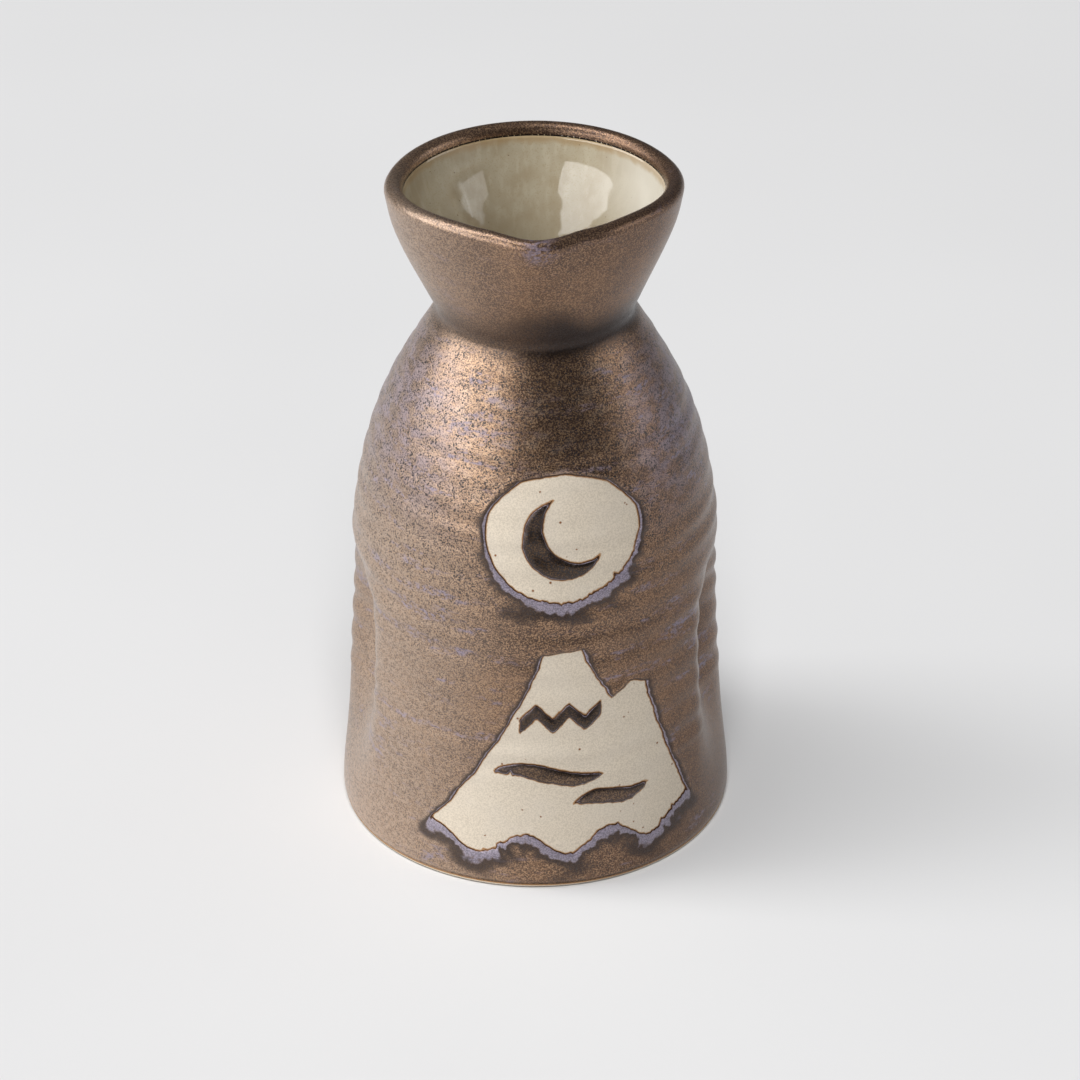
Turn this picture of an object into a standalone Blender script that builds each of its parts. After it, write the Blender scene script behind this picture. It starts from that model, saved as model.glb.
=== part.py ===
"""A sake bottle (tokkuri): one thrown stoneware body with a pinched spout and two finger dents,
coated with a bronze glaze outside and a cream glaze inside. Two figures are left bare in the bronze
coat: a disc above a mountain, with islands of glaze inside them.

The origin is the centre of the foot on the table, +Z is up and the spout points along -Y.
An angle around the bottle is counted from the spout towards +X. Lengths below are in millimetres.
"""

import math

import bmesh
import bpy

MM = 0.001

# The outside of the bottle as (height, radius), from the foot to the waist and from the waist to the rim.
FOOT = (0.0, 40.0)
BODY_STATIONS = [FOOT, (23.0, 38.9), (52.0, 37.4), (65.0, 36.5), (77.0, 34.7), (87.0, 32.0), (96.0, 28.4)]
SHOULDER_STATIONS = [(104.0, 24.1), (109.4, 20.9)]
WAIST = (112.4, 19.4)
CUP_STATIONS = [(115.6, 21.0), (120.0, 23.4), (125.0, 26.0), (130.3, 28.2)]
RIM = (135.7, 29.4)
OUTSIDE = BODY_STATIONS + SHOULDER_STATIONS + [WAIST] + CUP_STATIONS + [RIM]

LIP_THICKNESS = 3.6
BODY_THICKNESS = 4.4
THICKENING = 40.0
FLOOR_HEIGHT = 6.5
FLOOR_FILLET = 9.0
FOOT_RING_INNER = 31.0
FOOT_RECESS = 1.6
FOOT_CHAMFER = 0.8

# The spout: both flanks of the front rim are pinched in, which pushes a rounded tip out between them.
FLANK_PINCH = 4.2
FLANK_FULL = math.radians(38.0)
FLANK_END = math.radians(105.0)
TIP_REACH = 1.8
TIP_TURN = math.radians(-3.0)
TIP_HALF_WIDTH = math.radians(25.0)
RIM_LIFT = 0.31

# The two finger dents, left and right of the front.
DENT_ANGLE = math.radians(79.3)
DENT_TURN = math.radians(-3.0)
DENT_HALF_WIDTH = math.radians(24.0)
DENT_DEPTH = 8.0
DENT_LOW = 4.3
DENT_DEEPEST = 39.6
DENT_HIGH = 65.3

# Throwing rings: their pitch shrinks evenly from the first crest to the last.
RING_FIRST = 25.4
RING_LAST = 103.9
RING_PITCH_FIRST = 6.4
RING_PITCH_LAST = 5.0
RING_RELIEF = 0.36

# Coats of glaze. Each coat lies a hair above the clay.
COAT_THICKNESS = 0.5
COAT_GAP = 0.3
CLAY_DEPTH = COAT_THICKNESS + COAT_GAP
COAT_START = 2.4
COAT_END = RIM[0] - 0.7

# The bare figures, drawn on the front plane: x to the right and z up. They sit a little off the spout.
FIGURE_TURN = math.radians(5.5)
DISC_HEIGHT = 78.1
DISC_HALF_WIDTH = 15.2
DISC_HALF_HEIGHT = 12.7
CRESCENT_RADIUS = 8.2
CRESCENT_BITE_RADIUS = 7.4
CRESCENT_BITE_SHIFT = 4.2
CRESCENT_FACING = math.radians(38.0)
MAIN_PEAK = ((-4.6, 53.8), (3.0, 54.6))
SADDLE = (9.2, 42.4)
SIDE_PEAK = ((13.2, 45.2), (16.4, 44.2))
LEFT_FOOT = (-26.4, 12.5)
RIGHT_FOOT = (26.4, 13.5)
SLOPE_HOLLOW = 1.2
SCALLOP_DEPTH = 5.0
SCALLOPS = 3
SNOW_HEIGHT = 41.0
SNOW_ENDS = (-9.4, 7.0)
SNOW_ZIGZAG = 1.7
SNOW_THICKNESS = 3.2
UPPER_MIST = ((-14.6, 27.2), (7.4, 25.6))
LOWER_MIST = ((1.0, 19.2), (17.4, 20.6))
MIST_THICKNESS = 3.6
OUTLINE_STEPS = 8

SEGMENTS = 48
ROW_SPACING = 7.0
LIP_STEPS = 5
FILLET_STEPS = 3
ARC_STEPS = 14
FIGURE_NEAR = 60.0
FIGURE_FAR = 12.0
SLOPE_STEP = 0.4

# Materials: linear colour, roughness and metallic value.
CLAY = ("stoneware_clay", (0.70, 0.63, 0.49), 0.85, 0.0)
BRONZE = ("bronze_lustre_glaze", (0.26, 0.16, 0.10), 0.36, 0.75)
CREAM = ("cream_glaze", (0.68, 0.64, 0.50), 0.12, 0.0)
DARK = ("dark_brown_glaze", (0.05, 0.03, 0.02), 0.30, 0.4)


def clear_scene():
    for item in list(bpy.data.objects):
        bpy.data.objects.remove(item, do_unlink=True)


def ease(t):
    """A smooth step from 0 to 1."""
    t = min(max(t, 0.0), 1.0)
    return t * t * (3.0 - 2.0 * t)


def station_slope(index):
    """Slope of the outside at a station, from its two neighbours."""
    low = OUTSIDE[max(index - 1, 0)]
    high = OUTSIDE[min(index + 1, len(OUTSIDE) - 1)]
    return (high[1] - low[1]) / (high[0] - low[0])


def round_radius(height):
    """Radius of the unpinched, undented outside: a smooth curve through the stations."""
    index = 0
    while index < len(OUTSIDE) - 2 and height > OUTSIDE[index + 1][0]:
        index += 1
    low, high = OUTSIDE[index], OUTSIDE[index + 1]
    span = high[0] - low[0]
    t = (height - low[0]) / span
    rise = high[1] - low[1]
    start = station_slope(index) * span
    end = station_slope(index + 1) * span
    return low[1] + start * t + (3.0 * rise - 2.0 * start - end) * t**2 + (start + end - 2.0 * rise) * t**3


def ring_pitch(height):
    shrink = (RING_PITCH_LAST - RING_PITCH_FIRST) / (RING_LAST - RING_FIRST)
    return RING_PITCH_FIRST + shrink * (height - RING_FIRST)


def dent(angle, height):
    """How far the nearer finger dent pushes the wall in."""
    if height < DENT_DEEPEST:
        along = ease((height - DENT_LOW) / (DENT_DEEPEST - DENT_LOW))
    else:
        along = ease((DENT_HIGH - height) / (DENT_HIGH - DENT_DEEPEST))
    depth = 0.0
    for centre in (DENT_TURN - DENT_ANGLE, DENT_TURN + DENT_ANGLE):
        away = abs(angle - centre) / DENT_HALF_WIDTH
        if away < 1.0:
            depth = DENT_DEPTH * along * math.cos(0.5 * math.pi * away) ** 2
    return depth


def surface_point(angle, height):
    """(radius, height) of the outside, in the half-plane at an angle from the spout."""
    radius = round_radius(height) - dent(angle, height)
    if height <= WAIST[0]:
        return radius, height
    flare = (radius - WAIST[1]) / (RIM[1] - WAIST[1])
    pinch = FLANK_PINCH * (1.0 - ease((abs(angle) - FLANK_FULL) / (FLANK_END - FLANK_FULL)))
    away = min(abs(angle - TIP_TURN) / TIP_HALF_WIDTH, 1.0)
    tip = TIP_REACH * flare**2 * (0.5 + 0.5 * math.cos(math.pi * away))
    inward = flare * (pinch - tip)
    return radius - inward, height + RIM_LIFT * inward


def inward_normal(angle, height):
    """Tangent up the wall and the normal into the clay, both in the half-plane."""
    low = surface_point(angle, max(height - SLOPE_STEP, 0.0))
    high = surface_point(angle, min(height + SLOPE_STEP, RIM[0]))
    run, rise = high[0] - low[0], high[1] - low[1]
    length = math.hypot(run, rise)
    return (run / length, rise / length), (-rise / length, run / length)


def wall_point(angle, height, depth, relief=0.0):
    """A point at a depth under the outside, where the relief stands proud of it."""
    radius, level = surface_point(angle, height)
    normal = inward_normal(angle, height)[1]
    return radius + normal[0] * (depth - relief), level + normal[1] * (depth - relief)


def lip_point(angle, turn, depth):
    """A point on the rounded lip. The turn runs from 0 at its outer side to pi at its inner side."""
    radius, level = surface_point(angle, RIM[0])
    tangent, normal = inward_normal(angle, RIM[0])
    half = 0.5 * LIP_THICKNESS
    across = half - (half - depth) * math.cos(turn)
    up = (half - depth) * math.sin(turn)
    return (
        radius + normal[0] * across + tangent[0] * up,
        level + normal[1] * across + tangent[1] * up,
    )


def wall_thickness(height):
    return LIP_THICKNESS + (BODY_THICKNESS - LIP_THICKNESS) * ease((WAIST[0] - height) / THICKENING)


def lip_points(angle, depth):
    return [lip_point(angle, math.pi * step / (LIP_STEPS + 1), depth) for step in range(1, LIP_STEPS + 1)]


def plain_heights(low, high):
    """Row heights between two ends. Every coat and the clay share them, so that they stay parallel."""
    shared = []
    for below, above in zip(OUTSIDE, OUTSIDE[1:]):
        steps = max(1, round((above[0] - below[0]) / ROW_SPACING))
        shared += [below[0] + (above[0] - below[0]) * step / steps for step in range(steps)]
    return [low] + [height for height in shared if low + 0.6 < height < high - 0.6] + [high]


def ringed_rows():
    """(height, relief) of each row up the coat: every ring has a crest and a valley."""
    rows = [(height, 0.0) for height in (COAT_START, 9.0, 16.0, 21.5)]
    height = RING_FIRST
    while height < RING_LAST:
        half_pitch = 0.5 * ring_pitch(height)
        rows.append((height, 0.5 * RING_RELIEF))
        rows.append((height + half_pitch, -0.5 * RING_RELIEF))
        height += 2.0 * half_pitch
    rows += [(height, 0.0) for height in plain_heights(SHOULDER_STATIONS[-1][0] - 2.0, RIM[0])]
    return rows


def inner_wall(angle, depth, top):
    """The inside from a top height down to the floor's centre, at a depth under its skin."""
    base = FLOOR_HEIGHT + FLOOR_FILLET
    rows = [
        wall_point(angle, height, wall_thickness(height) - depth)
        for height in reversed(plain_heights(base + 1.0, top))
    ]
    centre = wall_point(angle, base, wall_thickness(base))[0] - FLOOR_FILLET
    for step in range(1, FILLET_STEPS + 1):
        turn = 0.5 * math.pi * step / FILLET_STEPS
        reach = FLOOR_FILLET + depth
        rows.append((centre + reach * math.cos(turn), base - reach * math.sin(turn)))
    rows.append((0.0, FLOOR_HEIGHT - depth))
    return rows


def clay_section(angle):
    foot_edge = surface_point(angle, 0.0)[0] - CLAY_DEPTH
    rows = [(0.0, FOOT_RECESS), (FOOT_RING_INNER - FOOT_RECESS, FOOT_RECESS), (FOOT_RING_INNER, 0.0)]
    rows.append((foot_edge - FOOT_CHAMFER, 0.0))
    rows += [wall_point(angle, height, CLAY_DEPTH) for height in plain_heights(FOOT_CHAMFER, RIM[0])]
    rows += lip_points(angle, CLAY_DEPTH)
    rows += inner_wall(angle, CLAY_DEPTH, RIM[0])
    return rows


def outer_coat_section(angle):
    front = [wall_point(angle, height, 0.0, relief) for height, relief in ringed_rows()]
    front += lip_points(angle, 0.0)
    front += [wall_point(angle, height, LIP_THICKNESS) for height in (RIM[0], COAT_END)]
    back = [wall_point(angle, height, COAT_THICKNESS) for height in plain_heights(COAT_START, RIM[0])]
    back += lip_points(angle, COAT_THICKNESS)
    back += [wall_point(angle, height, LIP_THICKNESS - COAT_THICKNESS) for height in (RIM[0], COAT_END)]
    return front + back[::-1]


def inner_coat_section(angle):
    top = COAT_END - COAT_GAP
    return inner_wall(angle, 0.0, top) + inner_wall(angle, COAT_THICKNESS, top)[::-1]


def ring_of_verts(mesh, sections, row):
    """The vertices of one row, or the single vertex of a row that lies on the axis."""
    if max(section[row][0] for section in sections) < 0.001:
        return [mesh.verts.new((0.0, 0.0, sections[0][row][1] * MM))]
    verts = []
    for index, section in enumerate(sections):
        angle = 2.0 * math.pi * index / SEGMENTS
        radius, height = section[row]
        across, back = radius * math.sin(angle), -radius * math.cos(angle)
        verts.append(mesh.verts.new((across * MM, back * MM, height * MM)))
    return verts


def join_rows(mesh, low, high):
    """Faces between two rows. A row of one vertex makes a fan. Every quad is split along the diagonal
    that climbs towards larger angles, so that parallel walls bend alike."""
    climbs = high[0].co.z >= low[0].co.z
    for index in range(SEGMENTS):
        after = (index + 1) % SEGMENTS
        if len(low) == 1:
            mesh.faces.new((low[0], high[after], high[index]))
        elif len(high) == 1:
            mesh.faces.new((low[index], low[after], high[0]))
        elif climbs:
            mesh.faces.new((low[index], low[after], high[after]))
            mesh.faces.new((low[index], high[after], high[index]))
        else:
            mesh.faces.new((low[index], low[after], high[index]))
            mesh.faces.new((low[after], high[after], high[index]))


def turned_angle(index):
    """The angle of a section, from -pi to pi."""
    angle = 2.0 * math.pi * index / SEGMENTS
    return angle - 2.0 * math.pi if angle > math.pi else angle


def turned_object(name, section_at, look):
    """A closed solid whose section changes around the axis."""
    sections = [section_at(turned_angle(index)) for index in range(SEGMENTS)]
    mesh = bmesh.new()
    rows = [ring_of_verts(mesh, sections, row) for row in range(len(sections[0]))]
    for low, high in zip(rows, rows[1:]):
        if len(low) > 1 or len(high) > 1:
            join_rows(mesh, low, high)
    if len(rows[0]) > 1:
        join_rows(mesh, rows[-1], rows[0])
    return finished_object(name, mesh, look)


def finished_object(name, mesh, look):
    bmesh.ops.recalc_face_normals(mesh, faces=mesh.faces)
    data = bpy.data.meshes.new(name)
    mesh.to_mesh(data)
    mesh.free()
    data.shade_smooth()
    data.set_sharp_from_angle(angle=math.radians(50.0))
    item = bpy.data.objects.new(name, data)
    bpy.context.collection.objects.link(item)
    if look:
        data.materials.append(material(*look))
    return item


def material(name, colour, roughness, metallic):
    made = bpy.data.materials.get(name)
    if made:
        return made
    made = bpy.data.materials.new(name)
    made.use_nodes = True
    shader = made.node_tree.nodes["Principled BSDF"]
    shader.inputs["Base Color"].default_value = (*colour, 1.0)
    shader.inputs["Roughness"].default_value = roughness
    shader.inputs["Metallic"].default_value = metallic
    return made


def figure_cutter(name, outline):
    """A hidden prism that runs through the front wall behind a figure's outline."""
    mesh = bmesh.new()
    face = mesh.faces.new([mesh.verts.new((x * MM, -FIGURE_NEAR * MM, z * MM)) for x, z in outline])
    far = bmesh.ops.extrude_face_region(mesh, geom=[face])["geom"]
    moved = [item for item in far if isinstance(item, bmesh.types.BMVert)]
    bmesh.ops.translate(mesh, verts=moved, vec=(0.0, (FIGURE_NEAR - FIGURE_FAR) * MM, 0.0))
    cutter = finished_object(name, mesh, None)
    cutter.rotation_euler.z = FIGURE_TURN
    cutter.hide_render = True
    cutter.display_type = "WIRE"
    return cutter


def shape_with(item, cutter, operation):
    modifier = item.modifiers.new(cutter.name, "BOOLEAN")
    modifier.operation = operation
    modifier.object = cutter


def disc_outline():
    points = []
    for step in range(2 * ARC_STEPS):
        turn = math.pi * step / ARC_STEPS
        wobble = 1.0 + 0.02 * math.sin(3.0 * turn + 1.0) + 0.012 * math.sin(7.0 * turn)
        across = DISC_HALF_WIDTH * wobble * math.cos(turn)
        points.append((across, DISC_HEIGHT + DISC_HALF_HEIGHT * wobble * math.sin(turn)))
    return points


def crescent_outline():
    """A moon's crescent, open to the upper right."""
    shift = CRESCENT_BITE_SHIFT
    reach = (shift**2 + CRESCENT_RADIUS**2 - CRESCENT_BITE_RADIUS**2) / (2.0 * shift)
    outer_turn = math.acos(reach / CRESCENT_RADIUS)
    bite_turn = math.acos((reach - shift) / CRESCENT_BITE_RADIUS)
    points = []
    for step in range(ARC_STEPS + 1):
        turn = CRESCENT_FACING + outer_turn + (2.0 * math.pi - 2.0 * outer_turn) * step / ARC_STEPS
        points.append((CRESCENT_RADIUS * math.cos(turn), CRESCENT_RADIUS * math.sin(turn)))
    for step in range(1, ARC_STEPS):
        turn = CRESCENT_FACING - bite_turn - (2.0 * math.pi - 2.0 * bite_turn) * step / ARC_STEPS
        across = shift * math.cos(CRESCENT_FACING) + CRESCENT_BITE_RADIUS * math.cos(turn)
        up = shift * math.sin(CRESCENT_FACING) + CRESCENT_BITE_RADIUS * math.sin(turn)
        points.append((across, up))
    return [(x, DISC_HEIGHT + z) for x, z in points]


def slope(top, foot):
    """Points down a hollow mountain slope."""
    points = []
    for step in range(OUTLINE_STEPS + 1):
        t = step / OUTLINE_STEPS
        points.append((top[0] + (foot[0] - top[0]) * t**SLOPE_HOLLOW, top[1] + (foot[1] - top[1]) * t))
    return points


def mountain_outline():
    """A blunt main peak with a lower one on its right. Its foot ends in scallops."""
    right = slope(MAIN_PEAK[1], SADDLE) + [SIDE_PEAK[0]] + slope(SIDE_PEAK[1], RIGHT_FOOT)
    foot = []
    for step in range(1, 3 * OUTLINE_STEPS):
        t = step / (3 * OUTLINE_STEPS)
        level = RIGHT_FOOT[1] + (LEFT_FOOT[1] - RIGHT_FOOT[1]) * t
        drop = SCALLOP_DEPTH * math.sin(SCALLOPS * math.pi * t) ** 2
        foot.append((RIGHT_FOOT[0] + (LEFT_FOOT[0] - RIGHT_FOOT[0]) * t, level - drop))
    return right + foot + slope(MAIN_PEAK[0], LEFT_FOOT)[::-1]


def snow_outline():
    """A zigzag band under the snow, one point at each turn."""
    turns = 5
    upper = []
    for turn in range(turns + 1):
        across = SNOW_ENDS[0] + (SNOW_ENDS[1] - SNOW_ENDS[0]) * turn / turns
        upper.append((across, SNOW_HEIGHT - SNOW_ZIGZAG * (-1.0) ** turn))
    lower = [(x, z - SNOW_THICKNESS) for x, z in reversed(upper)]
    return upper + lower


def mist_outline(ends):
    """A drifting band of mist: a brush stroke that swells in the middle."""
    (start_x, start_z), (end_x, end_z) = ends
    upper, lower = [], []
    for step in range(OUTLINE_STEPS + 1):
        t = step / OUTLINE_STEPS
        half = 0.5 * MIST_THICKNESS * math.sin(math.pi * t) ** 0.6
        x = start_x + (end_x - start_x) * t
        z = start_z + (end_z - start_z) * t + 0.25 * MIST_THICKNESS * math.sin(2.0 * math.pi * t)
        upper.append((x, z + half))
        lower.append((x, z - half))
    return upper + lower[-2:0:-1]


def glaze_island(name, outline):
    """A patch of the outer coat that stays on inside a bare figure."""
    island = turned_object(name, outer_coat_section, DARK)
    shape_with(island, figure_cutter(name + "_shape", outline), "INTERSECT")


def main():
    clear_scene()
    turned_object("stoneware_body", clay_section, CLAY)
    outer_glaze = turned_object("outer_glaze", outer_coat_section, BRONZE)
    shape_with(outer_glaze, figure_cutter("disc_window", disc_outline()), "DIFFERENCE")
    shape_with(outer_glaze, figure_cutter("mountain_window", mountain_outline()), "DIFFERENCE")
    turned_object("inner_glaze", inner_coat_section, CREAM)
    glaze_island("crescent_glaze", crescent_outline())
    glaze_island("snow_line_glaze", snow_outline())
    glaze_island("upper_mist_glaze", mist_outline(UPPER_MIST))
    glaze_island("lower_mist_glaze", mist_outline(LOWER_MIST))


main()
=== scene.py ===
"""Looks for the sake bottle: fine stoneware, glaze coats with ragged bare figures, studio light and camera.

The shape is the design's own: the outline of the bottle in millimetres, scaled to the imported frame.
An angle around the bottle is counted from the spout (-Y) towards +X.
"""

import math

import bpy
import mathutils
import numpy as np
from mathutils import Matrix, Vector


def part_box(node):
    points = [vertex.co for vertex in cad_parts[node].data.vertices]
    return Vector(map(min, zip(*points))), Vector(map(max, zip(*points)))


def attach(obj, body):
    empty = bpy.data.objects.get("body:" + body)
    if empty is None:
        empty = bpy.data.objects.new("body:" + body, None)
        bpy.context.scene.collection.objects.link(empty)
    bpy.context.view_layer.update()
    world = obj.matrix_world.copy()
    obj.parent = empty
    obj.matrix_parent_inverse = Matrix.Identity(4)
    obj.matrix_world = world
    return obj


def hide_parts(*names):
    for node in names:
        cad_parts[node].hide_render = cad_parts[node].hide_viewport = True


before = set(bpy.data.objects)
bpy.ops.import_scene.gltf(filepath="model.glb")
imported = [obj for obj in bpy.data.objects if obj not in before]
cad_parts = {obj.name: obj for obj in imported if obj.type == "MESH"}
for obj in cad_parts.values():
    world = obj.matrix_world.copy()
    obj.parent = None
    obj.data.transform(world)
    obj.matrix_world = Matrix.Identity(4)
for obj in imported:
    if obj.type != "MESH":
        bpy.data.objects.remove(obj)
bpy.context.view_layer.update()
coat_low, coat_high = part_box("outer_glaze")

# Scale of the design, whose coat is 79.77 mm wide, and the table's level in metres.
DESIGN_WIDTH = 79.77
MM = (coat_high.x - coat_low.x) / DESIGN_WIDTH
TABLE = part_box("stoneware_body")[0].z

# The outside of the bottle as (height, radius), from the foot over the waist to the rim.
WAIST_HEIGHT, WAIST_RADIUS = 112.4, 19.4
RIM_HEIGHT, RIM_RADIUS = 135.7, 29.4
OUTSIDE = np.array([
    (0.0, 40.0), (23.0, 38.9), (52.0, 37.4), (65.0, 36.5), (77.0, 34.7), (87.0, 32.0), (96.0, 28.4),
    (104.0, 24.1), (109.4, 20.9), (WAIST_HEIGHT, WAIST_RADIUS), (115.6, 21.0), (120.0, 23.4), (125.0, 26.0),
    (130.3, 28.2), (RIM_HEIGHT, RIM_RADIUS),
])

# Wall, floor and foot ring.
LIP_THICKNESS = 3.6
BODY_THICKNESS = 4.4
THICKENING = 40.0
FLOOR_HEIGHT = 6.5
FLOOR_FILLET = 9.0
FOOT_RING_INNER = 31.0
FOOT_RECESS = 1.6
FOOT_CHAMFER = 0.7

# The underside as (radius, level), and its rounded outer edge as (inset from the outside, level).
UNDERSIDE = (
    (0.0, FOOT_RECESS), (0.5 * FOOT_RING_INNER, FOOT_RECESS),
    (FOOT_RING_INNER - 1.5 * FOOT_RECESS, FOOT_RECESS),
    (FOOT_RING_INNER - 0.4, 0.15), (FOOT_RING_INNER, 0.0),
)
FOOT_EDGE = ((FOOT_CHAMFER + 0.1, 0.0), (0.6 * FOOT_CHAMFER, 0.12), (0.2 * FOOT_CHAMFER, 0.34))

# The cup is pinched in on both sides of the spout, which lifts its rim there, and drawn out to a tip.
FLANK_PINCH = 4.2
FLANK_FULL = math.radians(38.0)
FLANK_END = math.radians(105.0)
TIP_REACH = 1.8
TIP_TURN = math.radians(-3.0)
TIP_HALF_WIDTH = math.radians(25.0)
RIM_LIFT = 0.31

# One finger dent on each side.
DENT_ANGLE = math.radians(79.3)
DENT_TURN = math.radians(-3.0)
DENT_HALF_WIDTH = math.radians(24.0)
DENT_DEPTH = 8.0
DENT_LOW = 4.3
DENT_DEEPEST = 39.6
DENT_HIGH = 65.3

# Throwing rings, closer together towards the shoulder.
RING_FIRST = 25.4
RING_LAST = 103.9
RING_PITCH_FIRST = 6.4
RING_PITCH_LAST = 5.0
RING_RELIEF = 0.36
RING_FADE = 3.0

# The coats lie over the clay with a hair of room. They end just above the foot and inside the lip, and
# the rings fade out of them below the rim.
CLAY_DEPTH = 0.34
COAT_SHEET = 0.3
COAT_START = 0.9
COAT_END = RIM_HEIGHT - 0.7
LINER_LAP = 0.25
RIM_FADE = 6.0

# The edge of a coat: it tapers over EDGE_TAPER, and a bead stands just behind it.
EDGE_TAPER = 0.3
FOOT_TAPER = 0.35
BEAD_HEIGHT, BEAD_PLACE, BEAD_WIDTH = 0.11, 0.9, 0.6

# The bare figures and the islands of glaze in them, as (across, height) on the front.
FIGURE_TURN = math.radians(5.5)
DISC_HEIGHT = 78.1
DISC_HALF_WIDTH = 15.2
DISC_HALF_HEIGHT = 12.7
CRESCENT_RADIUS = 8.2
CRESCENT_BITE_RADIUS = 7.4
CRESCENT_BITE_SHIFT = 4.2
CRESCENT_FACING = math.radians(38.0)
MAIN_PEAK = ((-4.6, 53.8), (3.0, 54.6))
SADDLE = (9.2, 42.4)
SIDE_PEAK = ((13.2, 45.2), (16.4, 44.2))
LEFT_FOOT = (-26.4, 12.5)
RIGHT_FOOT = (26.4, 13.5)
SLOPE_HOLLOW = 1.2
SCALLOP_DEPTH = 5.0
SCALLOPS = 3
SNOW_HEIGHT = 41.0
SNOW_ENDS = (-9.4, 7.0)
SNOW_ZIGZAG = 1.7
SNOW_TURNS = 5
SNOW_THICKNESS = 3.2
UPPER_MIST = ((-14.6, 27.2), (7.4, 25.6))
LOWER_MIST = ((1.0, 19.2), (17.4, 20.6))
MIST_THICKNESS = 3.6

# A brushed edge: its waves as (wavelength, height, more height where the brush ran dry), and dry teeth.
BRUSH_SPACING = 0.25
BRUSH_WAVES = ((11.0, 0.18, 0.0), (5.0, 0.08, 0.0), (2.4, 0.07, 0.10), (1.1, 0.045, 0.12))
WAVE_HARMONICS = 4
DRY_SIDE = np.array([0.45, -0.89])
TOOTH_DEPTHS = (-1.2, 0.8)
TOOTH_WIDTHS = (0.25, 0.7)

# Fineness of the meshes, in millimetres along the wall.
FINE = 0.50
COARSE = 1.8
LINER_FINE = 1.0
FOOT_ROW_SHARE = 0.6
WAIST_ROW_SHARE = 0.4
COAT_LIP_ROWS, CLAY_LIP_ROWS, COAT_END_ROWS = 22, 12, 4
CLAY_INSIDE_SPACING, LINER_SPACING = 2.5, 0.8
FIGURE_SECTOR = math.radians(50.0)
FIGURE_ROWS = (4.0, 94.0)
WAIST_ROWS = (108.0, 118.0)
FAR_FROM_EDGE = 50.0
FAR_FROM_END = 9.0

# Glaze tones: body, deep (also painted shade), copper grain, pale (also painted light), and how much lilac
# breaks through.
BRONZE_TONES = (
    (0.225, 0.130, 0.078), (0.130, 0.076, 0.052), (0.50, 0.318, 0.190), (0.58, 0.440, 0.340), 0.75,
)
DARK_TONES = (
    (0.050, 0.034, 0.026), (0.032, 0.024, 0.021), (0.14, 0.085, 0.050), (0.10, 0.070, 0.050), 0.15,
)
UMBER_TONES = (
    (0.110, 0.070, 0.048), (0.060, 0.040, 0.032), (0.28, 0.180, 0.110), (0.16, 0.115, 0.085), 0.4,
)
LILAC = (0.225, 0.195, 0.275)
PIT_BLACK = (0.014, 0.010, 0.012)
# Painted shade in the crease under the cup.
CREASE_SHADE_BROWN = (0.022, 0.015, 0.014)
HALO_BROWN = (0.048, 0.035, 0.032)
ASH_DEEP, ASH_PALE = (0.17, 0.15, 0.19), (0.30, 0.27, 0.35)
RIM_RUST = (0.085, 0.036, 0.016)
LINE_BLACK = (0.012, 0.009, 0.009)

CLAY_DEEP, CLAY_PALE, CLAY_CLOUD = (0.545, 0.473, 0.380), (0.670, 0.588, 0.478), (0.62, 0.558, 0.478)
CLAY_SPECK, CLAY_FLECK, CLAY_TOAST = (0.20, 0.08, 0.025), (0.40, 0.34, 0.25), (0.33, 0.155, 0.045)

CREAM_DEEP, CREAM_PALE, CREAM_STREAK = (0.380, 0.315, 0.212), (0.440, 0.384, 0.278), (0.56, 0.505, 0.39)
CREAM_FLECK, CREAM_SPECK, CREAM_BROWNED = (0.36, 0.29, 0.18), (0.12, 0.07, 0.03), (0.34, 0.21, 0.08)
# Painted light on the right of the liner, and painted shade low in the cup.
CREAM_SUNLIT, CREAM_LOW_SHADE = (0.60, 0.565, 0.49), (0.31, 0.25, 0.16)
CREAM_INDEX = 1.64

TABLE_DEEP, TABLE_PALE = (0.695, 0.695, 0.70), (0.715, 0.715, 0.72)

# Round table and backdrop, in metres.
TABLE_RINGS = (0.001, 0.5, 2.5)
SWEEP_START, SWEEP_RADIUS, BACKDROP_TOP = 2.4, 0.8, 3.0
SHEET_SEGMENTS = 96

# Lamps: azimuth and elevation in degrees, distance in metres, (width, height) in metres, power in watts.
# An azimuth is seen from the camera: 0 is behind the camera and 90 to its right.
TOP_LAMP = (0.0, 63.0, 5.0, (1.5, 2.8), 186.0)
LEFT_LAMP = (-92.0, 61.0, 3.0, (0.9, 2.3), 47.0)
PANEL_LAMP = (-65.0, 21.0, 4.0, (6.25, 1.9), 138.0)
FILL_LAMP = (88.0, 18.0, 2.4, (1.4, 1.2), 9.0)
SOFT_LAMP = (-25.0, 42.0, 3.0, (2.0, 1.5), 40.0)
GLINT_LAMP = (60.0, 20.0, 2.4, (0.95, 0.42), 1.9)
LAMP_AIM = 0.06

# Walls of the studio, with a darker cone behind the camera: azimuth, elevation, inner and outer angle.
WALL_LEVEL, DARK_WALL_LEVEL = 0.13, 0.03
DARK_WALL = (12.0, 20.0, 28.0, 50.0)

# The camera's place in millimetres, seen from the bottle's axis at table level, and its lens.
CAMERA_AZIMUTH = math.radians(-4.0)
CAMERA_PITCH = math.radians(31.27)
CAMERA_DISTANCE, CAMERA_HEIGHT, CAMERA_SIDESTEP = 763.1, 521.2, 0.93
SENSOR_WIDTH, LENS = 36.0, 147.4
CLIP_END = 20.0


# ---------------------------------------------------------------- shape of the bottle

def ease(t):
    t = np.clip(t, 0.0, 1.0)
    return t * t * (3.0 - 2.0 * t)


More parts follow.
